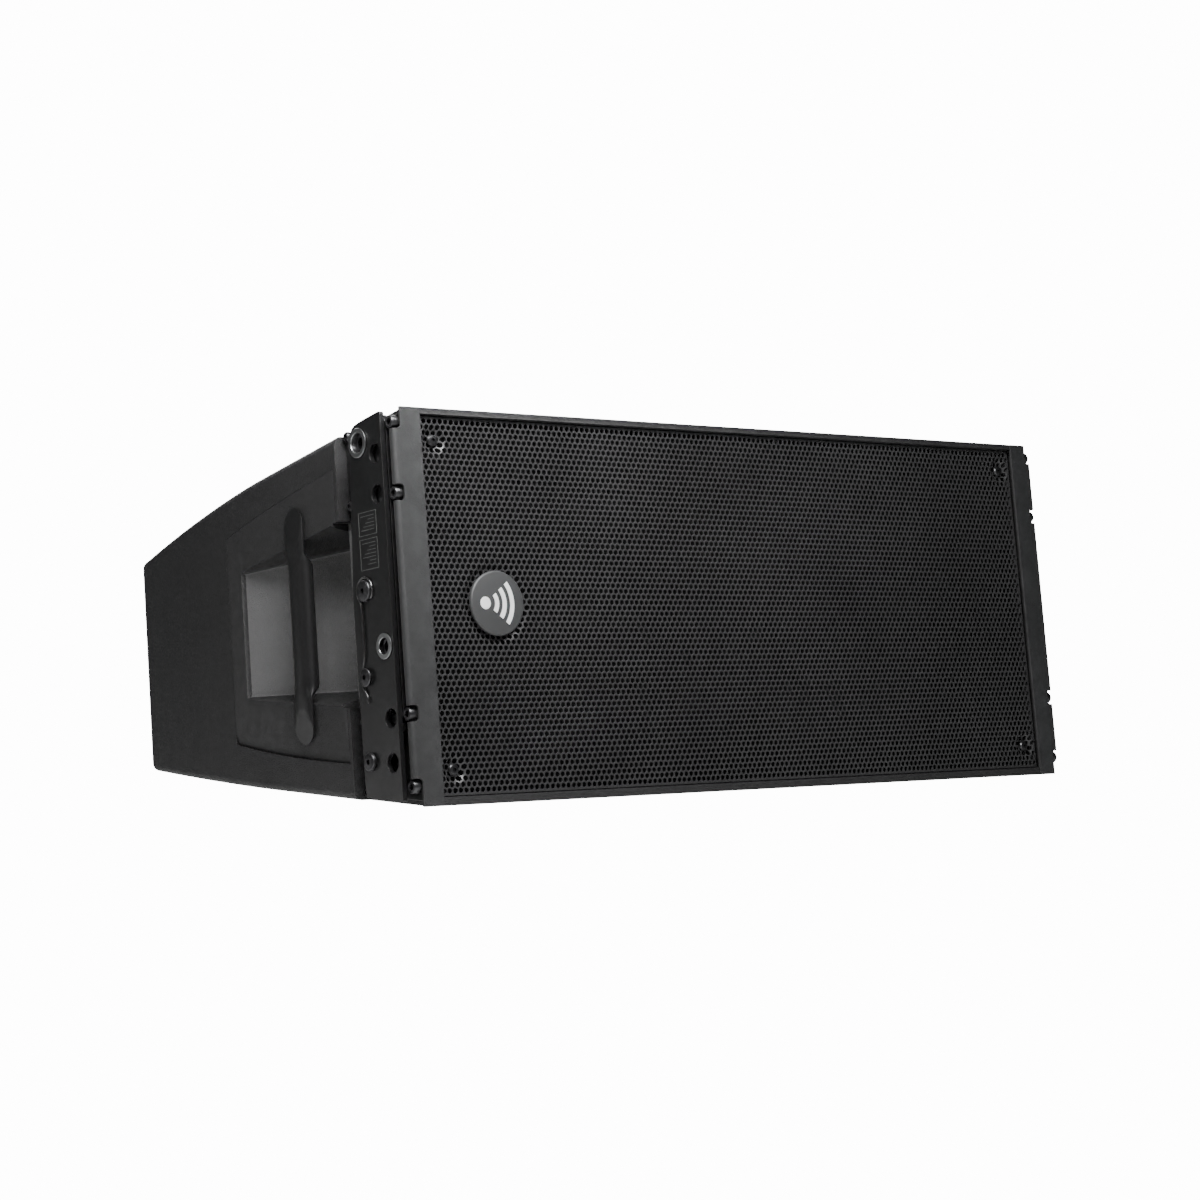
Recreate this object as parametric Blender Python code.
"""Dual 10-inch active line array module: a 15 degree wedge cabinet, flown or ground stacked.

Metres, +Z up. The grille faces -Y, +X is to the right when looking at the grille. The origin is
at the bottom centre of the module's box. Places along the depth are given as a distance "d" behind
the front face, which y_at() turns into a Y coordinate. "Left" is the -X side.
"""
import math

import bmesh
import bpy
from mathutils import Matrix, Vector

# ---------------------------------------------------------------- driving dimensions
HEIGHT = 0.293                      # front edge height
DEPTH = 0.502                       # front face to heat sink fins
SIDE_REACH = 0.3525                 # half the overall width, at the rigging screw heads
WEDGE = math.tan(math.radians(7.5))  # slope of the top and of the bottom
MID_Z = HEIGHT / 2
GAP = 0.0003                        # clearance between pieces that touch

CABINET_SIDE = 0.347                # half width over the cabinet sides
WALL = 0.009
SIDE_FLAT_END = 0.190               # the sides are parallel as far as this, then draw in
SIDE_DRAW_IN = 0.032                # how far each side draws in at the rear corner
REAR_WALL = 0.440
REAR_CORNER = 0.015
EDGE_ROUND = 0.006

RECESS_SIDE = 0.334                 # half width over the floors of the two rigging recesses
RECESS_REAR = 0.076
LIP_TOP = 0.0045                    # cabinet edge that frames the grille
LIP_BOTTOM = 0.006
REBATE = 0.020                      # depth of the grille's rebate

FLANGE_INNER = 0.3205
FLANGE_OUTER = 0.3455
FLANGE_SHEET = 0.002
FLANGE_LEG = 0.0054
NOTCH_X = 0.3387
NOTCHES = ((0.274, 0.290), (0.221, 0.236), (0.060, 0.074), (0.008, 0.022))

BASE_FACE = 0.337                   # rigging base plate, outer face
PLATE_INNER = 0.345
PLATE_OUTER = 0.349
LINK_INNER = 0.338
LINK_OUTER = 0.344
LINK_D = 0.0220                     # centre line of the link bar
LINK_HALF = 0.0107
LINK_BOTTOM = 0.062
LINK_TOP = 0.290
LINK_HOLES = (0.2816, 0.1186, 0.0736)
PIN_HOLE_R = 0.0048

UPPER_BUSH = (0.0411, 0.2718)
LOWER_BUSH = (0.0223, 0.1186)
PLATE_HOLES = ((0.0204, 0.2608), (0.0205, 0.2304), (0.0204, 0.0660), (0.0214, 0.0336))
PLATE_HOLE_R = 0.0071
SPRING_BOSS = (0.0425, 0.1615)
PLATE_SCREWS = ((0.0467, 0.0981), (0.0482, 0.0363))
SHOULDER_R = 0.0045
COIL_R = 0.0098
WIRE_R = 0.0008
BASE_SCREW_Z = (0.282, 0.229, 0.0675, 0.0150)
BASE_SCREW_D = (0.0068, 0.0705)

PANEL_FRONT = 0.080                 # handle panel, front edge
PANEL_SKIN = 0.005
HANDLE_D = 0.135
HANDLE_HALF = 0.013
HANDLE_Z = (0.056, 0.237)
HANDLE_FACE = 0.3520
GRIP_INNER = 0.338
GRIP_Z = (0.090, 0.207)

BAFFLE_FRONT = 0.024
BAFFLE_BACK = 0.040
WOOFER_X = 0.190
WOOFER_R = 0.129
WOOFER_HOLE_R = 0.117
PORTS = [(side * 0.084, MID_Z + level * 0.1105) for side in (-1, 1) for level in (-1, 1)]
PORT_R = 0.019
PORT_WALL = 0.0025
PORT_END = 0.055
GUIDE_MOUTH = (0.048, 0.118)        # half width and half height
GRILLE_SCREWS = [(side * 0.307, z) for side in (-1, 1) for z in (0.2695, 0.0260)]
GRILLE_FACE = 0.004
GRILLE_SHEET = 0.0015
BADGE = (-0.2596, 0.148)
BADGE_R = 0.0245

PANEL_X = (0.034, 0.286)            # rear panels, inner and outer edge from the centre line
PANEL_Z = (0.070, 0.223)
FIN_COUNT = 22
FIN_THICKNESS = 0.0025
BRACKET_HALF = 0.020
BRACKET_SHEET = 0.004
BRACKET_Z = (0.064, 0.229)
BRACKET_BACK = 0.492
ARM_PIVOT = (0.470, 0.208)
ARM_HALF_WIDTH = 0.012
ARM_REACH = 0.126
PARK_PIN = (0.4530, 0.100)
TRAY_FLOOR = 0.428
XLR_IN = (-0.085, 0.178)
XLR_OUT = (-0.125, 0.178)
MAINS_IN = (-0.240, 0.108)
MAINS_OUT = (-0.190, 0.108)
KNOBS = ((-0.175, 0.184), (-0.215, 0.184))
LEDS = [(-0.167 - 0.012 * step, 0.150) for step in range(5)]


def y_at(d):
    return d - DEPTH / 2


def top_z(d):
    return HEIGHT - WEDGE * d


def bottom_z(d):
    return WEDGE * d


def half_width(d):
    """Half width of the cabinet: parallel, then drawn in along a gentle curve."""
    past = max(0.0, d - SIDE_FLAT_END) / (REAR_WALL - 0.014 - SIDE_FLAT_END)
    return CABINET_SIDE - SIDE_DRAW_IN * past ** 1.5


# ---------------------------------------------------------------- materials
def finish(name, colour, roughness, metallic=0.0):
    """Principled material of this name, made on first use."""
    material = bpy.data.materials.get(name) or bpy.data.materials.new(name)
    material.use_nodes = True
    shader = material.node_tree.nodes["Principled BSDF"]
    shader.inputs["Base Color"].default_value = (*colour, 1.0)
    shader.inputs["Roughness"].default_value = roughness
    shader.inputs["Metallic"].default_value = metallic
    material.diffuse_color = (*colour, 1.0)
    return material


FINISHES = {
    "cabinet_plastic": ((0.016, 0.016, 0.017), 0.55, 0.0),
    "handle_plastic": ((0.020, 0.020, 0.021), 0.40, 0.0),
    "black_paint": ((0.022, 0.022, 0.023), 0.40, 0.2),
    "flange_paint": ((0.075, 0.077, 0.078), 0.60, 0.2),
    "grille_steel": ((0.010, 0.010, 0.011), 0.35, 0.5),
    "foam": ((0.008, 0.008, 0.008), 0.95, 0.0),
    "zinc_steel": ((0.62, 0.62, 0.60), 0.30, 1.0),
    "dark_steel": ((0.10, 0.10, 0.10), 0.38, 0.9),
    "badge_plastic": ((0.20, 0.20, 0.21), 0.45, 0.0),
    "plywood": ((0.060, 0.050, 0.040), 0.75, 0.0),
    "paper_cone": ((0.018, 0.018, 0.018), 0.80, 0.0),
    "surround_rubber": ((0.015, 0.015, 0.015), 0.70, 0.0),
    "cast_aluminium": ((0.045, 0.045, 0.047), 0.50, 0.7),
    "black_anodised": ((0.022, 0.022, 0.024), 0.42, 0.8),
    "circuit_board": ((0.020, 0.090, 0.045), 0.50, 0.0),
    "connector_black": ((0.014, 0.014, 0.015), 0.45, 0.0),
    "connector_blue": ((0.020, 0.110, 0.380), 0.45, 0.0),
    "connector_grey": ((0.30, 0.30, 0.31), 0.50, 0.0),
    "led_lens": ((0.10, 0.45, 0.12), 0.25, 0.0),
    "cable_sheath": ((0.030, 0.030, 0.032), 0.60, 0.0),
}


# ---------------------------------------------------------------- mesh helpers
def closed(bm):
    bmesh.ops.recalc_face_normals(bm, faces=bm.faces)
    return bm


def box(x, d, z, bm=None):
    """Box between two x, two d and two z values, added to bm."""
    bm = bm or bmesh.new()
    size = Vector((x[1] - x[0], d[1] - d[0], z[1] - z[0]))
    middle = Vector(((x[0] + x[1]) / 2, y_at((d[0] + d[1]) / 2), (z[0] + z[1]) / 2))
    place = Matrix.Translation(middle) @ Matrix.Diagonal((*size, 1.0))
    bmesh.ops.create_cube(bm, size=1.0, matrix=place)
    return bm


def loft(bm, rings):
    """Close a stack of matching rings of vertices into a solid."""
    bm.faces.new(rings[0])
    bm.faces.new(rings[-1])
    for low, high in zip(rings, rings[1:]):
        for i in range(len(low)):
            j = (i + 1) % len(low)
            bm.faces.new((low[i], low[j], high[j], high[i]))
    return closed(bm)


def plan_prism(outline, inset_top=0.0, inset_bottom=None):
    """Solid with a plan outline of (x, d) points between the sloping bottom and top."""
    inset_bottom = inset_top if inset_bottom is None else inset_bottom
    bm = bmesh.new()
    low = [bm.verts.new((x, y_at(d), bottom_z(d) + inset_bottom)) for x, d in outline]
    high = [bm.verts.new((x, y_at(d), top_z(d) - inset_top)) for x, d in outline]
    return loft(bm, [low, high])


def side_prism(outline, x, bm=None):
    """Solid with a side outline of (d, z) points between two x values, added to bm."""
    bm = bm or bmesh.new()
    rings = [[bm.verts.new((at, y_at(d), z)) for d, z in outline] for at in x]
    return loft(bm, rings)


def hull(points):
    bm = bmesh.new()
    for x, d, z in points:
        bm.verts.new((x, y_at(d), z))
    bmesh.ops.convex_hull(bm, input=bm.verts)
    return closed(bm)


AXES = {
    "x": Matrix.Rotation(math.radians(90), 4, "Y"),
    "y": Matrix.Rotation(math.radians(-90), 4, "X"),
    "z": Matrix.Identity(4),
}


def turned(profile, centre, axis="y", segments=32, bm=None):
    """Closed (radius, distance) profile turned about an axis through centre, added to bm."""
    bm = bm or bmesh.new()
    place = Matrix.Translation(centre) @ AXES[axis]
    rings = []
    for radius, along in profile:
        count = segments if radius > 0 else 1
        turns = [2 * math.pi * i / count for i in range(count)]
        rings.append([bm.verts.new(place @ Vector((radius * math.cos(a), radius * math.sin(a), along)))
                      for a in turns])
    for first, second in zip(rings, rings[1:] + rings[:1]):
        if len(first) == 1 and len(second) == 1:
            continue
        for i in range(segments):
            j = (i + 1) % segments
            corners = [first[i % len(first)], first[j % len(first)],
                       second[j % len(second)], second[i % len(second)]]
            bm.faces.new(list(dict.fromkeys(corners)))
    return closed(bm)


def rod(radius, centre, span, axis="y", segments=24, bm=None):
    """Cylinder along an axis, over a (start, end) span measured from centre."""
    profile = [(0, span[0]), (radius, span[0]), (radius, span[1]), (0, span[1])]
    return turned(profile, centre, axis, segments, bm)


def side_rod(radius, place, x, segments=24, bm=None):
    """Cylinder along X at a (d, z) place, between two x values."""
    d, z = place
    return rod(radius, (0, y_at(d), z), x, "x", segments, bm)


def front_rod(radius, place, d, segments=24, bm=None):
    """Cylinder along Y at an (x, z) place, between two d values."""
    x, z = place
    return rod(radius, (x, 0, z), (y_at(d[0]), y_at(d[1])), "y", segments, bm)


def round_edges(bm, chosen, width, segments=2):
    edges = [edge for edge in bm.edges if chosen(edge)]
    bmesh.ops.bevel(bm, geom=edges, offset=width, segments=segments, affect="EDGES", profile=0.5)
    return bm


def capsule(centre, half, z, segments=8):
    """Side outline of a bar with round ends: (d, z) points."""
    points = []
    for end, start in ((z[1] - half, 0.0), (z[0] + half, math.pi)):
        for i in range(segments + 1):
            a = start + math.pi * i / segments
            points.append((centre + half * math.cos(a), end + half * math.sin(a)))
    return points


# ---------------------------------------------------------------- object helpers
def piece(name, bm, material, smooth=35.0):
    """Object of this name with the mesh of bm, which is freed."""
    mesh = bpy.data.meshes.new(name)
    bm.to_mesh(mesh)
    bm.free()
    mesh.shade_smooth()
    mesh.set_sharp_from_angle(angle=math.radians(smooth))
    obj = bpy.data.objects.new(name, mesh)
    mesh.materials.append(finish(material, *FINISHES[material]))
    bpy.context.collection.objects.link(obj)
    return obj


def merge_flat_faces(mesh):
    """Dissolve the edges that a Boolean leaves across flat faces."""
    bm = bmesh.new()
    bm.from_mesh(mesh)
    bmesh.ops.dissolve_limit(bm, angle_limit=math.radians(0.05), verts=bm.verts, edges=bm.edges)
    bm.to_mesh(mesh)
    bm.free()


def carve(obj, tool, operation="DIFFERENCE"):
    """Apply a Boolean with the solid in tool, which is freed."""
    cutter = piece("cutter", tool, "dark_steel")
    modifier = obj.modifiers.new("carve", "BOOLEAN")
    modifier.operation = operation
    modifier.solver = "EXACT"
    modifier.object = cutter
    graph = bpy.context.evaluated_depsgraph_get()
    mesh = bpy.data.meshes.new_from_object(obj.evaluated_get(graph))
    obj.modifiers.clear()
    merge_flat_faces(mesh)
    old, obj.data = obj.data, mesh
    mesh.name = obj.name
    bpy.data.meshes.remove(old)
    old = cutter.data
    bpy.data.objects.remove(cutter)
    bpy.data.meshes.remove(old)
    return obj


def mirrored(obj, name):
    """Copy on the other side of the YZ plane, as a mesh of its own."""
    mesh = obj.data.copy()
    mesh.transform(Matrix.Scale(-1, 4, (1, 0, 0)))
    mesh.flip_normals()
    twin = bpy.data.objects.new(name, mesh)
    twin.location = (-obj.location.x, obj.location.y, obj.location.z)
    bpy.context.collection.objects.link(twin)
    return twin


def both_sides(build):
    """Build a piece on the right and mirror it to the left."""
    right = build()
    return mirrored(right, right.name.replace("_right", "_left")), right


def origin_at(obj, point):
    """Move the object's origin without moving its surface."""
    obj.data.transform(Matrix.Translation(-Vector(point)))
    obj.location = point
    return obj


# ---------------------------------------------------------------- cabinet
def cabinet_outline(inset, front, rear, recess_inset=0.0):
    """Plan of the cabinet: (x, d) points all round. The recesses have an inset of their own."""
    step = RECESS_REAR + recess_inset
    half = [(RECESS_SIDE - recess_inset, front), (RECESS_SIDE - recess_inset, step)]
    stations = [step] + [SIDE_FLAT_END + 0.039 * i for i in range(6)]
    half += [(half_width(d) - inset, d) for d in stations]
    corner = REAR_CORNER - inset
    centre_x = half_width(rear - corner) - inset - corner
    for i in range(5):
        a = math.radians(90 * i / 4)
        half.append((centre_x + corner * math.cos(a), rear - corner + corner * math.sin(a)))
    return half + [(-x, d) for x, d in reversed(half)]


def base_screw_places():
    return [(d, z) for d in BASE_SCREW_D for z in BASE_SCREW_Z]


def panel_screw_places(sign):
    """Screws along the top and bottom edges of a rear panel: (x, z)."""
    inner, outer = PANEL_X
    spots = (inner + 0.008, (inner + outer) / 2, outer - 0.008)
    return [(sign * x, z) for x in spots for z in (PANEL_Z[0] + 0.005, PANEL_Z[1] - 0.005)]


def bracket_screw_places():
    return [(0.0, z) for z in (BRACKET_Z[0] + 0.012, MID_Z, BRACKET_Z[1] - 0.044)]


def handle_panel_outline(grow):
    """Side outline of the handle panel: (d, z) points. Its top and bottom edges are bowed."""
    front, rear = PANEL_FRONT - grow, 0.2445 + grow
    top = [(front, 0.2585 + grow), (0.125, 0.2497 + grow), (0.185, 0.2383 + grow)]
    top.append((rear, 0.2280 + grow))
    bottom = [(rear, 0.0650 - grow), (0.200, 0.0530 - grow), (0.140, 0.0436 - grow)]
    bottom.append((front, 0.0375 - grow))
    return top + bottom


def pocket_hull(grow, reach=0.0):
    """Hand pocket on the right: shallow at the rear, deep at the front."""
    front, rear = 0.084 - grow, 0.224 + grow
    mouth = 0.3475 + reach
    floor = 0.297 - grow
    points = [(mouth, front, 0.2185 + grow), (mouth, front, 0.0785 - grow)]
    points += [(mouth, rear, 0.2000 + grow), (mouth, rear, 0.0970 - grow)]
    points += [(floor, front, 0.2060 + grow), (floor, front, 0.0915 - grow)]
    rear_floor = 0.3440 - grow
    points += [(rear_floor, rear - 0.003, 0.1980 + grow), (rear_floor, rear - 0.003, 0.0990 - grow)]
    return hull(points)


def cabinet_body():
    """Outer solid of the cabinet, its top and bottom rims rounded behind the recesses."""
    bm = bmesh.new()
    rims = []
    for turn in (0, 45, 90):
        drawn_in = EDGE_ROUND * (1 - math.sin(math.radians(turn)))
        rise = EDGE_ROUND * (1 - math.cos(math.radians(turn)))
        rims.append((cabinet_outline(drawn_in, 0.0005, REAR_WALL - drawn_in), rise))
    rings = [[bm.verts.new((x, y_at(d), bottom_z(d) + rise)) for x, d in outline] for outline, rise in rims]
    rings += [[bm.verts.new((x, y_at(d), top_z(d) - rise)) for x, d in outline]
              for outline, rise in reversed(rims)]
    return loft(bm, rings)


def cabinet_shell():
    shell = piece("cabinet_shell", cabinet_body(), "cabinet_plastic")
    carve(shell, plan_prism(cabinet_outline(WALL, -0.010, REAR_WALL - WALL, WALL), WALL))
    rebate = [(RECESS_SIDE - WALL, -0.010), (RECESS_SIDE - WALL, REBATE),
              (WALL - RECESS_SIDE, REBATE), (WALL - RECESS_SIDE, -0.010)]
    carve(shell, plan_prism(rebate, LIP_TOP, LIP_BOTTOM))
    for sign in (-1, 1):
        span = sorted((sign * (FLANGE_INNER - GAP), sign * 0.340))
        carve(shell, box(span, (-0.010, FLANGE_SHEET + GAP), (-0.010, HEIGHT + 0.010)))
        carve(shell, side_prism(handle_panel_outline(GAP), sorted((sign * 0.280, sign * 0.360))))
        mouth = sorted((sign * (RECESS_SIDE - 0.0010), sign * 0.360))
        carve(shell, box(mouth, (0.066, PANEL_FRONT + 0.001), (0.0785, 0.2185)))
        opening = sorted((sign * (PANEL_X[0] + 0.005), sign * (PANEL_X[1] - 0.005)))
        carve(shell, box(opening, (0.400, 0.460), (PANEL_Z[0] + 0.003, PANEL_Z[1] - 0.003)))
    return shell


def front_baffle():
    """Board that carries the drivers, with its four reflex port tubes moulded on."""
    side = RECESS_SIDE - WALL - GAP
    outline = [(side, BAFFLE_FRONT), (side, BAFFLE_BACK), (-side, BAFFLE_BACK), (-side, BAFFLE_FRONT)]
    baffle = piece("front_baffle", plan_prism(outline, WALL + GAP), "plywood")
    tubes = bmesh.new()
    for place in PORTS:
        front_rod(PORT_R, place, (BAFFLE_BACK - 0.001, PORT_END), 16, tubes)
    carve(baffle, tubes, "UNION")
    through = (BAFFLE_FRONT - 0.010, BAFFLE_BACK + 0.010)
    holes = bmesh.new()
    for sign in (-1, 1):
        front_rod(WOOFER_HOLE_R, (sign * WOOFER_X, MID_Z), through, 32, holes)
    for place in PORTS:
        front_rod(PORT_R - PORT_WALL, place, (BAFFLE_FRONT - 0.010, PORT_END + 0.010), 16, holes)
    for place in GRILLE_SCREWS:
        front_rod(0.0022, place, (BAFFLE_FRONT - 0.010, BAFFLE_FRONT + 0.009), 6, holes)
    wide, tall = GUIDE_MOUTH
    box((-wide - GAP, wide + GAP), through, (MID_Z - tall - GAP, MID_Z + tall + GAP), holes)
    return carve(baffle, holes)


# ---------------------------------------------------------------- drivers
def on_woofer(profile):
    """Profile of (radius, d) points turned about the right woofer's axis."""
    return turned([(r, y_at(d)) for r, d in profile], (WOOFER_X, 0, MID_Z), "y", 28)


def woofer_basket():
    profile = [(WOOFER_R, 0.018), (WOOFER_R, BAFFLE_FRONT - GAP), (0.1145, BAFFLE_FRONT - GAP),
               (0.1110, 0.044), (0.0680, 0.094), (0.0560, 0.098), (0.0400, 0.098), (0.0400, 0.094),
               (0.0640, 0.092), (0.1050, 0.044), (0.1120, 0.0225), (0.1120, 0.018)]
    basket = piece("woofer_basket_right", on_woofer(profile), "cast_aluminium")
    windows = bmesh.new()
    for i in range(6):
        a = math.radians(60 * i + 30)
        spin = Matrix.Translation((WOOFER_X, y_at(0.068), MID_Z)) @ Matrix.Rotation(a, 4, "Y")
        size = Matrix.Diagonal((0.080, 0.034, 0.056, 1.0))
        bmesh.ops.create_cube(windows, size=1.0, matrix=spin @ Matrix.Translation((0.090, 0, 0)) @ size)
    return carve(basket, windows)


def woofer_surround():
    """Half-roll rubber ring between the basket and the cone."""
    outer = [(0.1115, 0.0215), (0.1115, 0.0200)]
    roll = [(0.1030 + 0.0070 * math.cos(math.radians(a)), 0.0200 - 0.0060 * math.sin(math.radians(a)))
            for a in range(0, 181, 45)]
    under = [(0.1030 - 0.0058 * math.cos(math.radians(a)), 0.0212 - 0.0060 * math.sin(math.radians(a)))
             for a in range(0, 181, 45)]
    return piece("woofer_surround_right", on_woofer(outer + roll + under), "surround_rubber")


def woofer_magnet():
    """Magnet and pole piece, with the gap that the voice coil moves in."""
    profile = [(0.0000, 0.0983), (0.0285, 0.0983), (0.0285, 0.126), (0.0350, 0.126), (0.0350, 0.0983),
               (0.0570, 0.0983), (0.0570, 0.134), (0.0540, 0.137), (0.0000, 0.137)]
    return piece("woofer_magnet_right", on_woofer(profile), "cast_aluminium")


def woofer_cone():
    """Cone, dust cap and voice coil former, glued into one piece."""
    profile = [(0.0000, 0.0400), (0.0200, 0.0425), (0.0370, 0.0500), (0.0960, 0.0200), (0.0960, 0.0216),
               (0.0330, 0.0560), (0.0325, 0.1080), (0.0312, 0.1080), (0.0312, 0.0545), (0.0200, 0.0440),
               (0.0000, 0.0415)]
    cone = piece("woofer_cone_right", on_woofer(profile), "paper_cone")
    return origin_at(cone, (WOOFER_X, y_at(0.0400), MID_Z))


def frustum(front, back, d):
    """Solid between a front and a back rectangle, given as half width and half height."""
    points = []
    for (wide, tall), at in zip((front, back), d):
        points += [(sx * wide, at, MID_Z + sz * tall) for sx in (-1, 1) for sz in (-1, 1)]
    return hull(points)


def hf_waveguide():
    """Horn with a tall slot mouth, flange on the baffle."""
    wide, tall = GUIDE_MOUTH
    wall = 0.003
    throat = (0.022, 0.022)
    body = frustum((wide, tall), (throat[0] + wall, throat[1] + wall), (0.022, 0.170))
    guide = piece("hf_waveguide", body, "connector_black")
    flange = box((-wide - 0.007, wide + 0.007), (0.0195, BAFFLE_FRONT - GAP),
                 (MID_Z - tall - 0.006, MID_Z + tall + 0.006))
    carve(guide, flange, "UNION")
    return carve(guide, frustum((wide - 0.002, tall - 0.002), throat, (0.010, 0.1705)))


def compression_driver():
    profile = [(0.024, 0.1703), (0.042, 0.1703), (0.042, 0.182), (0.062, 0.184), (0.062, 0.226),
               (0.050, 0.240), (0.000, 0.240), (0.000, 0.190), (0.020, 0.190)]
    bm = turned([(r, y_at(d)) for r, d in profile], (0, 0, MID_Z), "y", 24)
    return piece("compression_driver", bm, "cast_aluminium")


# ---------------------------------------------------------------- grille
def grille_prism(side, d, inset):
    outline = [(side, d[0]), (side, d[1]), (-side, d[1]), (-side, d[0])]
    return plan_prism(outline, LIP_TOP + inset, LIP_BOTTOM + inset)


def grille():
    """Sheet with folded edges; the perforation is too fine for this model."""
    side = FLANGE_INNER - 0.0005
    sheet = piece("grille", grille_prism(side, (GRILLE_FACE, 0.016), GAP), "grille_steel")
    carve(sheet, grille_prism(side - GRILLE_SHEET, (GRILLE_FACE + GRILLE_SHEET, 0.030),
                              GAP + GRILLE_SHEET))
    holes = bmesh.new()
    for place in GRILLE_SCREWS:
        front_rod(0.0025, place, (0, 0.010), 8, holes)
    return carve(sheet, holes)


def grille_foam():
    side = FLANGE_INNER - 0.0030
    sheet = piece("grille_foam", grille_prism(side, (0.0060, 0.0135), 0.0030), "foam")
    holes = bmesh.new()
    for place in GRILLE_SCREWS:
        front_rod(0.0030, place, (0, 0.020), 8, holes)
    return carve(sheet, holes)


def grille_screw(number, place):
    profile = [(0, 0.0020), (0.0035, 0.0020), (0.0045, 0.0030), (0.0045, 0.0037), (0.0018, 0.0037),
               (0.0018, 0.0320), (0, 0.0320)]
    x, z = place
    bm = turned([(r, y_at(d)) for r, d in profile], (x, 0, z), "y", 10)
    return piece(f"grille_screw_{number}", bm, "dark_steel")


def badge():
    profile = [(0, 0.0012), (BADGE_R - 0.0015, 0.0012), (BADGE_R, 0.0024), (BADGE_R, 0.0037), (0, 0.0037)]
    bm = turned([(r, y_at(d)) for r, d in profile], (BADGE[0], 0, BADGE[1]), "y", 32)
    return piece("badge", bm, "badge_plastic")


# ---------------------------------------------------------------- side rigging
def front_flange():
    """Folded corner cover: a wide face, a bend and a short leg, notched for the base screws."""
    bend = 0.0032
    arc = [math.radians(90 * i / 4) for i in range(5)]
    outer = [(FLANGE_OUTER - bend + bend * math.sin(a), bend - bend * math.cos(a)) for a in arc]
    inside = bend - FLANGE_SHEET
    inner = [(FLANGE_OUTER - bend + inside * math.sin(a), bend - inside * math.cos(a)) for a in arc]
    section = [(FLANGE_INNER, 0.0)] + outer + [(FLANGE_OUTER, FLANGE_LEG)]
    section += [(FLANGE_OUTER - FLANGE_SHEET, FLANGE_LEG)] + inner[::-1] + [(FLANGE_INNER, FLANGE_SHEET)]
    flange = piece("front_flange_right", plan_prism(section), "flange_paint")
    for low, high in NOTCHES:
        carve(flange, box((NOTCH_X, 0.350), (-0.005, 0.010), (low, high)))
    return flange


def rigging_plate():
    """Outer side plate of the rigging."""
    outline = [(0.0114, 0.0040), (0.0114, 0.2910), (0.0340, 0.2880), (0.0440, 0.2862), (0.0490, 0.2840),
               (0.0515, 0.2800), (0.0540, 0.2460), (0.0600, 0.1570), (0.0590, 0.0310), (0.0580, 0.0110)]
    plate = piece("rigging_plate_right", side_prism(outline, (PLATE_INNER, PLATE_OUTER)), "black_paint")
    through = (PLATE_INNER - 0.002, PLATE_OUTER + 0.002)
    holes = bmesh.new()
    for place in PLATE_HOLES:
        side_rod(PLATE_HOLE_R, place, through, 16, holes)
    for place in (UPPER_BUSH, LOWER_BUSH):
        side_rod(0.0073 + GAP, place, through, 16, holes)
    for place in (SPRING_BOSS, *PLATE_SCREWS):
        side_rod(SHOULDER_R + GAP, place, through, 12, holes)
    return carve(plate, holes)


def rigging_base():
    """Inner plate on the recess floor, with the stop that the stowed link bar rests on."""
    front, rear = FLANGE_SHEET + 0.0006, RECESS_REAR - 0.0010
    outline = [(RECESS_SIDE + GAP, front), (BASE_FACE, front), (BASE_FACE, rear), (RECESS_SIDE + GAP, rear)]
    base = piece("rigging_base_right", plan_prism(outline, 0.004), "black_paint")
    stop = box((BASE_FACE - 0.001, 0.3435), (0.0130, 0.0310), (LINK_BOTTOM - 0.006, LINK_BOTTOM - GAP))
    carve(base, stop, "UNION")
    holes = bmesh.new()
    for place in base_screw_places():
        side_rod(0.0024, place, (0.330, 0.345), 6, holes)
    return carve(base, holes)


def pin_bush(name, place, flange_r, start):
    """Hardened bush that a locking pin goes through."""
    d, z = place
    face = PLATE_OUTER + GAP
    profile = [(PIN_HOLE_R, start), (0.0073, start), (0.0073, face), (flange_r, face),
               (flange_r, face + 0.0011), (PIN_HOLE_R, face + 0.0011)]
    return piece(name, turned(profile, (0, y_at(d), z), "x", 24), "zinc_steel")


def shoulder_screw(name, place, head_r, seat):
    """Screw that holds the plate off the base; its head starts at seat."""
    d, z = place
    profile = [(0, BASE_FACE + GAP), (SHOULDER_R, BASE_FACE + GAP), (SHOULDER_R, seat),
               (head_r, seat), (head_r, SIDE_REACH), (0, SIDE_REACH)]
    return piece(name, turned(profile, (0, y_at(d), z), "x", 16), "dark_steel")


def spring_route():
    """Centre line of the torsion spring: most of a turn, then a leg down behind a screw's head."""
    d0, z0 = SPRING_BOSS
    wire_x = PLATE_OUTER + 0.0013
    points = []
    turns = 13
    for i in range(turns + 1):
        a = math.radians(-400 + 265 * i / turns)
        points.append((wire_x, d0 - COIL_R * math.cos(a), z0 + COIL_R * math.sin(a)))
    leg = [(0.0478, 0.1500), (0.0474, 0.1400), (0.0474, 0.1250), (0.0480, 0.1130), (0.0505, 0.1050),
           (0.0522, 0.0990), (0.0520, 0.0930), (0.0495, 0.0880), (0.0466, 0.0840), (0.0462, 0.0790)]
    return points + [(wire_x, d, z) for d, z in leg]


def link_bar():
    """Flat bar that slides up to join the module above."""
    outline = capsule(LINK_D, LINK_HALF, (LINK_BOTTOM, LINK_TOP))
    bar = piece("link_bar_right", side_prism(outline, (LINK_INNER, LINK_OUTER)), "zinc_steel")
    holes = bmesh.new()
    for z in LINK_HOLES:
        side_rod(PIN_HOLE_R, (LINK_D, z), (LINK_INNER - 0.002, LINK_OUTER + 0.002), 14, holes)
    carve(bar, holes)
    return origin_at(bar, (LINK_INNER, y_at(LINK_D), LINK_BOTTOM))


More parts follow.
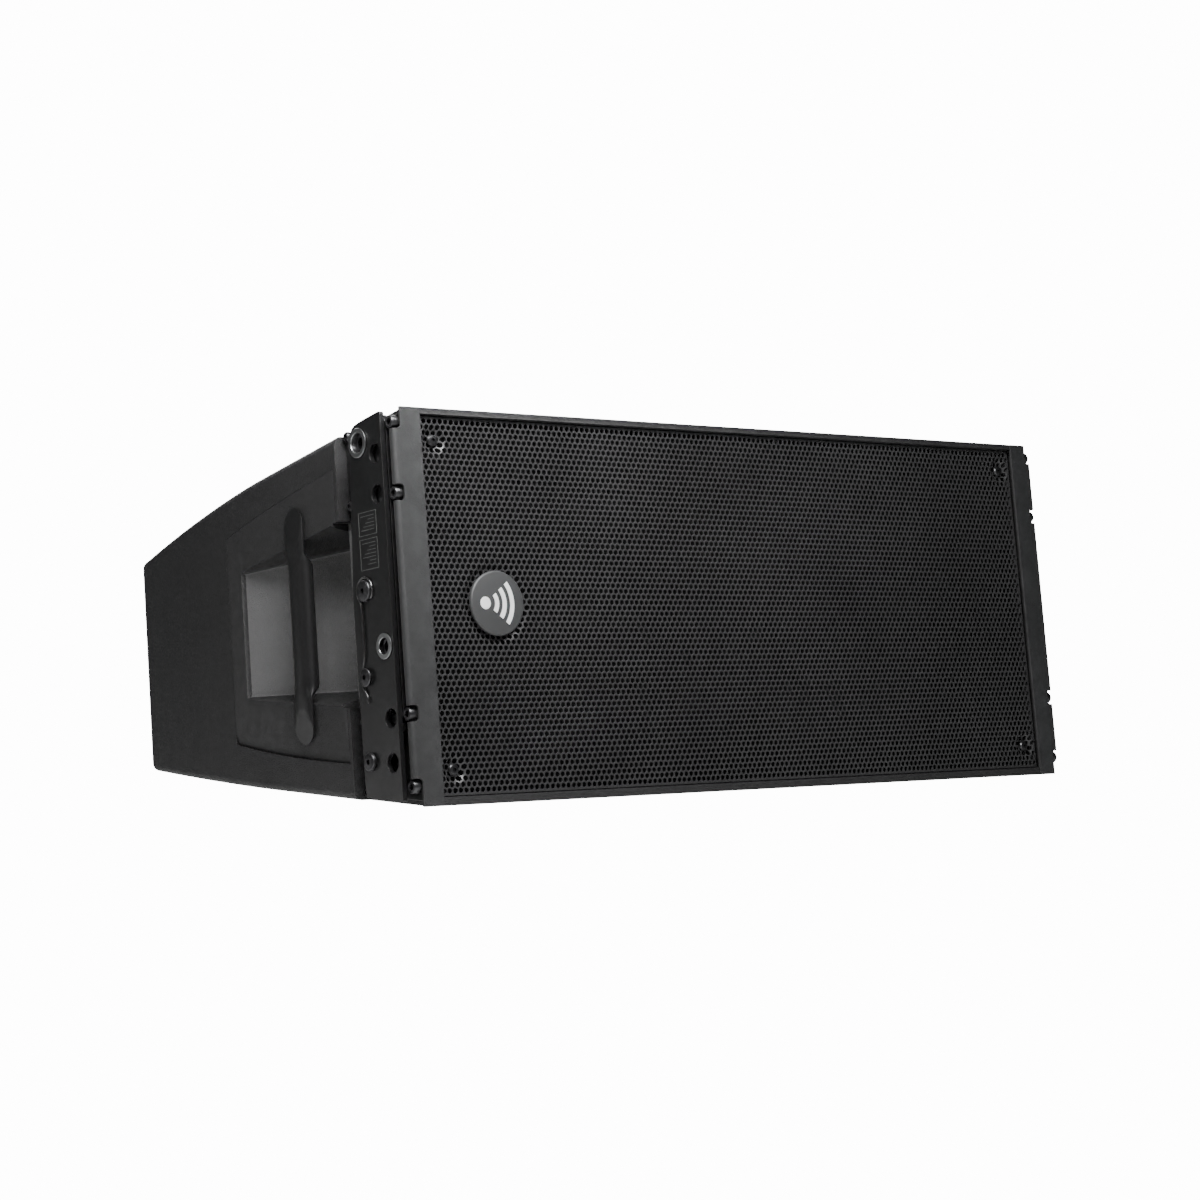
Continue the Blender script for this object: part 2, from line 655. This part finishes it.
# ---------------------------------------------------------------- handles
def handle_panel():
    """Side insert with the hand pocket. Its skin follows the cabinet's side."""
    stations = [PANEL_FRONT - 0.004, 0.120, 0.160, SIDE_FLAT_END, 0.210, 0.230, 0.250]
    plan = [(half_width(d), d) for d in stations]
    plan += [(half_width(d) - PANEL_SKIN, d) for d in reversed(stations)]
    panel = piece("handle_panel_right", plan_prism(plan), "cabinet_plastic")
    carve(panel, side_prism(handle_panel_outline(0.0), (0.280, 0.360)), "INTERSECT")
    carve(panel, pocket_hull(0.0036, -0.0030), "UNION")
    carve(panel, pocket_hull(0.0, 0.0080))
    return carve(panel, box((RECESS_SIDE - 0.0010, 0.360), (0.070, 0.0845), (0.0790, 0.2180)))


def handle():
    """Grip bar across the pocket, with round ends that lie on the panel."""
    slab = side_prism(capsule(HANDLE_D, HANDLE_HALF, HANDLE_Z), (CABINET_SIDE + GAP, HANDLE_FACE))
    face = HANDLE_FACE - 0.0001
    round_edges(slab, lambda edge: all(vert.co.x > face for vert in edge.verts), 0.0018, 2)
    bar = piece("handle_right", closed(slab), "handle_plastic")
    narrow = HANDLE_HALF - 0.001
    grip = box((GRIP_INNER, CABINET_SIDE + 0.002), (HANDLE_D - narrow, HANDLE_D + narrow), GRIP_Z)
    inner = GRIP_INNER + 0.0001
    round_edges(grip, lambda edge: all(vert.co.x < inner for vert in edge.verts), 0.0050, 3)
    return carve(bar, closed(grip), "UNION")


# ---------------------------------------------------------------- rear: amplifier
def heatsink():
    """Amplifier's outer plate and its cooling fins, as one casting."""
    inner, outer = PANEL_X
    foot = REAR_WALL + 0.0063
    sink = piece("heatsink", box((inner, outer), (REAR_WALL + GAP, foot), PANEL_Z), "black_anodised")
    fins = bmesh.new()
    pitch = (outer - inner - 0.006 - FIN_THICKNESS) / (FIN_COUNT - 1)
    for i in range(FIN_COUNT):
        x = inner + 0.003 + pitch * i
        outline_z = (PANEL_Z[0] + 0.012, PANEL_Z[1] - 0.012)
        box((x, x + FIN_THICKNESS), (foot - 0.001, DEPTH), outline_z, fins)
    carve(sink, fins, "UNION")
    holes = bmesh.new()
    for place in panel_screw_places(1):
        front_rod(0.0024, place, (REAR_WALL - 0.005, foot + 0.005), 6, holes)
    return carve(sink, holes)


def amp_housing():
    """Sheet metal box behind the heat sink."""
    inner, outer = PANEL_X[0] + 0.008, PANEL_X[1] - 0.008
    low, high = PANEL_Z[0] + 0.006, PANEL_Z[1] - 0.006
    shell = piece("amp_housing", box((inner, outer), (0.335, REAR_WALL), (low, high)), "black_paint")
    sheet = 0.0015
    return carve(shell, box((inner + sheet, outer - sheet), (0.335 + sheet, REAR_WALL + 0.010),
                            (low + sheet, high - sheet)))


def amp_board():
    """Circuit board with its capacitors, transistors and inductors."""
    board = piece("amp_board", box((0.050, 0.270), (0.350, 0.3516), (0.084, 0.209)), "circuit_board")
    parts = bmesh.new()
    for i in range(4):
        front_rod(0.0110, (0.076 + 0.026 * i, 0.108), (0.3512, 0.392), 12, parts)
    for i in range(6):
        box((0.190 + 0.013 * i, 0.199 + 0.013 * i), (0.3512, 0.368), (0.096, 0.100), parts)
    box((0.070, 0.110), (0.3512, 0.362), (0.175, 0.200), parts)
    return carve(board, parts, "UNION")


def connector_panel():
    """Recessed tray for the sockets and controls."""
    inner, outer = PANEL_X
    flange = box((-outer, -inner), (REAR_WALL + GAP, REAR_WALL + 0.0023), PANEL_Z)
    tray = piece("connector_panel", flange, "black_paint")
    low, high = PANEL_Z[0] + 0.009, PANEL_Z[1] - 0.009
    carve(tray, box((-outer + 0.012, -inner - 0.012), (TRAY_FLOOR - 0.002, REAR_WALL + 0.001),
                    (low - 0.002, high + 0.002)), "UNION")
    carve(tray, box((-outer + 0.014, -inner - 0.014), (TRAY_FLOOR, REAR_WALL + 0.010), (low, high)))
    holes = bmesh.new()
    through = (TRAY_FLOOR - 0.010, TRAY_FLOOR + 0.005)
    for place in (XLR_IN, XLR_OUT, MAINS_IN, MAINS_OUT):
        front_rod(0.0120, place, through, 20, holes)
    for place in KNOBS:
        front_rod(0.0036, place, through, 10, holes)
    for place in LEDS:
        front_rod(0.0018, place, through, 8, holes)
    for place in panel_screw_places(-1):
        front_rod(0.0024, place, (REAR_WALL - 0.005, REAR_WALL + 0.008), 6, holes)
    return carve(tray, holes)


def socket(name, place, cavity_r, core_r, material):
    """Panel socket: square flange, round body and a cavity with its contacts' core set back."""
    x, z = place
    face = TRAY_FLOOR + 0.0028
    flange = box((x - 0.0130, x + 0.0130), (TRAY_FLOOR + GAP, face), (z - 0.0155, z + 0.0155))
    round_edges(flange, lambda edge: abs((edge.verts[0].co - edge.verts[1].co).y) > 0.001, 0.003, 2)
    body = piece(name, closed(flange), material)
    carve(body, front_rod(0.0117, place, (0.405, face - 0.0005), 20), "UNION")
    carve(body, front_rod(cavity_r, place, (0.409, face + 0.010), 20))
    carve(body, front_rod(core_r, place, (0.4085, face - 0.0075), 14), "UNION")
    return body


def contact_places(place, ring, count, start):
    x, z = place
    angles = [math.radians(start + 360 * i / count) for i in range(count)]
    return [(x + ring * math.cos(a), z + ring * math.sin(a)) for a in angles]


def xlr_input():
    """Female socket: holes in its core, and a slot for the release tab."""
    body = socket("xlr_input", XLR_IN, 0.0095, 0.0072, "connector_black")
    holes = bmesh.new()
    for place in contact_places(XLR_IN, 0.0040, 3, 90):
        front_rod(0.0013, place, (0.413, TRAY_FLOOR), 6, holes)
    x, z = XLR_IN
    box((x - 0.0043, x + 0.0043), (TRAY_FLOOR - 0.0035, TRAY_FLOOR + 0.006), (z + 0.0116, z + 0.0149),
        holes)
    return carve(body, holes)


def xlr_release_tab():
    """Push tab that frees the plug; it goes in 2 mm."""
    x, z = XLR_IN
    tab = box((x - 0.0039, x + 0.0039), (TRAY_FLOOR + 0.0023, TRAY_FLOOR + 0.0058), (z + 0.0120, z + 0.0145))
    return origin_at(piece("xlr_release_tab", tab, "zinc_steel"), (x, y_at(TRAY_FLOOR + 0.0058), z + 0.0132))


def xlr_output():
    """Male socket: three pins inside."""
    body = socket("xlr_output", XLR_OUT, 0.0095, 0.0020, "connector_black")
    pins = bmesh.new()
    for place in contact_places(XLR_OUT, 0.0040, 3, 270):
        front_rod(0.0012, place, (0.4085, TRAY_FLOOR - 0.0050), 6, pins)
    return carve(body, pins, "UNION")


def mains_socket(name, place, material):
    return socket(name, place, 0.0105, 0.0065, material)


def knob(name, place):
    """Rotary control with a flat pointer side."""
    x, z = place
    profile = [(0, 0.4460), (0.0055, 0.4460), (0.0062, 0.4452), (0.0070, TRAY_FLOOR + 0.0008),
               (0.0032, TRAY_FLOOR + 0.0008), (0.0032, 0.4200), (0, 0.4200)]
    body = piece(name, turned([(r, y_at(d)) for r, d in profile], (x, 0, z), "y", 24), "connector_grey")
    carve(body, box((x - 0.0006, x + 0.0006), (0.4448, 0.450), (z, z + 0.009)))
    return origin_at(body, (x, y_at(TRAY_FLOOR), z))


def status_leds():
    """Light guide: a strip behind the panel with five lenses that stand through it."""
    (first, z), (last, _) = LEDS[0], LEDS[-1]
    strip = box((last - 0.004, first + 0.004), (0.4200, 0.4240), (z - 0.003, z + 0.003))
    guide = piece("status_leds", strip, "led_lens")
    lenses = bmesh.new()
    profile = [(0, 0.4308), (0.0015, 0.4298), (0.0015, 0.4230), (0, 0.4230)]
    for x, level in LEDS:
        turned([(r, y_at(d)) for r, d in profile], (x, 0, level), "y", 8, lenses)
    return carve(guide, lenses, "UNION")


# ---------------------------------------------------------------- rear rigging
def rear_bracket():
    """Upright channel at the rear, whose two ears carry the link arm."""
    foot = REAR_WALL + GAP
    channel = box((-BRACKET_HALF, BRACKET_HALF), (foot, BRACKET_BACK), BRACKET_Z)
    corner_y = y_at(BRACKET_BACK) - 0.0001

    def ear_corner(edge):
        along_x = abs((edge.verts[0].co - edge.verts[1].co).x) > 0.01
        return along_x and all(vert.co.y > corner_y for vert in edge.verts)

    round_edges(channel, ear_corner, 0.016, 4)
    bracket = piece("rear_bracket", closed(channel), "black_paint")
    inner = BRACKET_HALF - BRACKET_SHEET
    carve(bracket, box((-inner, inner), (foot + BRACKET_SHEET, BRACKET_BACK + 0.010),
                       (BRACKET_Z[0] - 0.010, BRACKET_Z[1] + 0.010)))
    holes = bmesh.new()
    across = (-0.030, 0.030)
    side_rod(0.0043, ARM_PIVOT, across, 16, holes)
    side_rod(0.0043, PARK_PIN, across, 16, holes)
    for step in range(5):
        side_rod(0.0043, (ARM_PIVOT[0], 0.0850 + 0.0200 * step), across, 12, holes)
    for place in bracket_screw_places():
        front_rod(0.0027, place, (REAR_WALL - 0.005, 0.450), 6, holes)
    return carve(bracket, holes)


def rear_pivot_bolt():
    half = BRACKET_HALF + GAP
    profile = [(0, -half - 0.004), (0.0060, -half - 0.004), (0.0068, -half - 0.003), (0.0068, -half),
               (0.0040, -half), (0.0040, half), (0.0068, half), (0.0068, half + 0.004), (0, half + 0.004)]
    d, z = ARM_PIVOT
    return piece("rear_pivot_bolt", turned(profile, (0, y_at(d), z), "x", 24), "zinc_steel")


def rear_link_arm():
    """Arm that swings out and up to join the module above; it hangs down when stowed."""
    d, z = ARM_PIVOT
    outline = capsule(d, ARM_HALF_WIDTH, (z - ARM_REACH, z + ARM_HALF_WIDTH))
    arm = piece("rear_link_arm", side_prism(outline, (-0.0060, 0.0060)), "zinc_steel")
    holes = bmesh.new()
    side_rod(0.0042, ARM_PIVOT, (-0.010, 0.010), 24, holes)
    for step in range(3):
        side_rod(0.0043, (d, z - ARM_REACH + 0.012 + 0.0200 * step), (-0.010, 0.010), 12, holes)
    carve(arm, holes)
    return origin_at(arm, (0, y_at(d), z))


def rear_lock_pin():
    """Quick-release pin parked in its stowing hole; it pulls out to the left."""
    d, z = PARK_PIN
    half = BRACKET_HALF + 0.0010
    profile = [(0, 0.0235), (0.0030, 0.0235), (0.0038, 0.0225), (0.0038, -half), (0.0062, -half),
               (0.0062, -half - 0.0060), (0.0050, -half - 0.0070), (0, -half - 0.0070)]
    pin = piece("rear_lock_pin", turned(profile, (0, y_at(d), z), "x", 16), "zinc_steel")
    ring = bmesh.new()
    section = [(0.0085 + 0.0009 * math.cos(math.radians(a)), 0.0009 * math.sin(math.radians(a)))
               for a in range(0, 360, 72)]
    turned(section, (-half - 0.0040, y_at(d), z - 0.0125), "x", 16, ring)
    carve(pin, ring, "UNION")
    return origin_at(pin, (0, y_at(d), z))


# ---------------------------------------------------------------- wiring
def tube(route, radius):
    """Round lead through (x, d, z) points."""
    curve = bpy.data.curves.new("lead", "CURVE")
    curve.dimensions = "3D"
    curve.bevel_depth = radius
    curve.bevel_resolution = 1
    curve.use_fill_caps = True
    spline = curve.splines.new("POLY")
    spline.points.add(len(route) - 1)
    for point, (x, d, z) in zip(spline.points, route):
        point.co = (x, y_at(d), z, 1.0)
    lead = bpy.data.objects.new("lead", curve)
    bpy.context.collection.objects.link(lead)
    graph = bpy.context.evaluated_depsgraph_get()
    bm = bmesh.new()
    bm.from_mesh(lead.evaluated_get(graph).to_mesh())
    bpy.data.objects.remove(lead)
    bpy.data.curves.remove(curve)
    bmesh.ops.remove_doubles(bm, verts=bm.verts, dist=0.00001)
    return closed(bm)


def latch_spring():
    return piece("latch_spring_right", tube(spring_route(), WIRE_R), "zinc_steel")


def wiring_loom():
    """Leads from the amplifier to the three drivers, tied together where they leave it."""
    start = (0.060, 0.332, MID_Z)
    ends = [(WOOFER_X, 0.139, MID_Z), (-WOOFER_X, 0.139, MID_Z), (0.0, 0.2425, MID_Z)]
    loom = None
    for x1, d1, z1 in ends:
        route = [start]
        for i in range(1, 7):
            t = i / 6
            sag = -0.020 * math.sin(math.pi * t)
            route.append((start[0] + (x1 - start[0]) * t ** 0.6, start[1] + (d1 - start[1]) * t, z1 + sag))
        lead = tube(route, 0.0020)
        if loom is None:
            loom = piece("wiring_loom", lead, "cable_sheath")
        else:
            carve(loom, lead, "UNION")
    tie = front_rod(0.0045, (start[0] - 0.001, MID_Z - 0.002), (0.322, 0.331), 16)
    return carve(loom, tie, "UNION")


def build():
    for obj in list(bpy.data.objects):
        bpy.data.objects.remove(obj)
    for make in (cabinet_shell, front_baffle, hf_waveguide, compression_driver, grille, grille_foam, badge,
                 heatsink, amp_housing, amp_board, connector_panel, xlr_input, xlr_release_tab,
                 xlr_output, status_leds, rear_bracket, rear_pivot_bolt, rear_link_arm, rear_lock_pin,
                 wiring_loom):
        make()
    for number, place in enumerate(GRILLE_SCREWS, 1):
        grille_screw(number, place)
    mains_socket("mains_inlet", MAINS_IN, "connector_blue")
    mains_socket("mains_outlet", MAINS_OUT, "connector_grey")
    knob("level_knob", KNOBS[0])
    knob("preset_knob", KNOBS[1])
    for make in (woofer_basket, woofer_surround, woofer_magnet, woofer_cone, front_flange, rigging_plate,
                 rigging_base, latch_spring, link_bar, handle_panel, handle):
        both_sides(make)
    both_sides(lambda: pin_bush("upper_bush_right", UPPER_BUSH, 0.0112, BASE_FACE + GAP))
    both_sides(lambda: pin_bush("lower_bush_right", LOWER_BUSH, 0.0096, LINK_OUTER + 2 * GAP))
    on_plate, over_spring = PLATE_OUTER + GAP, PLATE_OUTER + 0.0024
    both_sides(lambda: shoulder_screw("spring_boss_right", SPRING_BOSS, 0.0080, on_plate))
    both_sides(lambda: shoulder_screw("upper_plate_screw_right", PLATE_SCREWS[0], 0.0069, over_spring))
    both_sides(lambda: shoulder_screw("lower_plate_screw_right", PLATE_SCREWS[1], 0.0067, on_plate))


build()
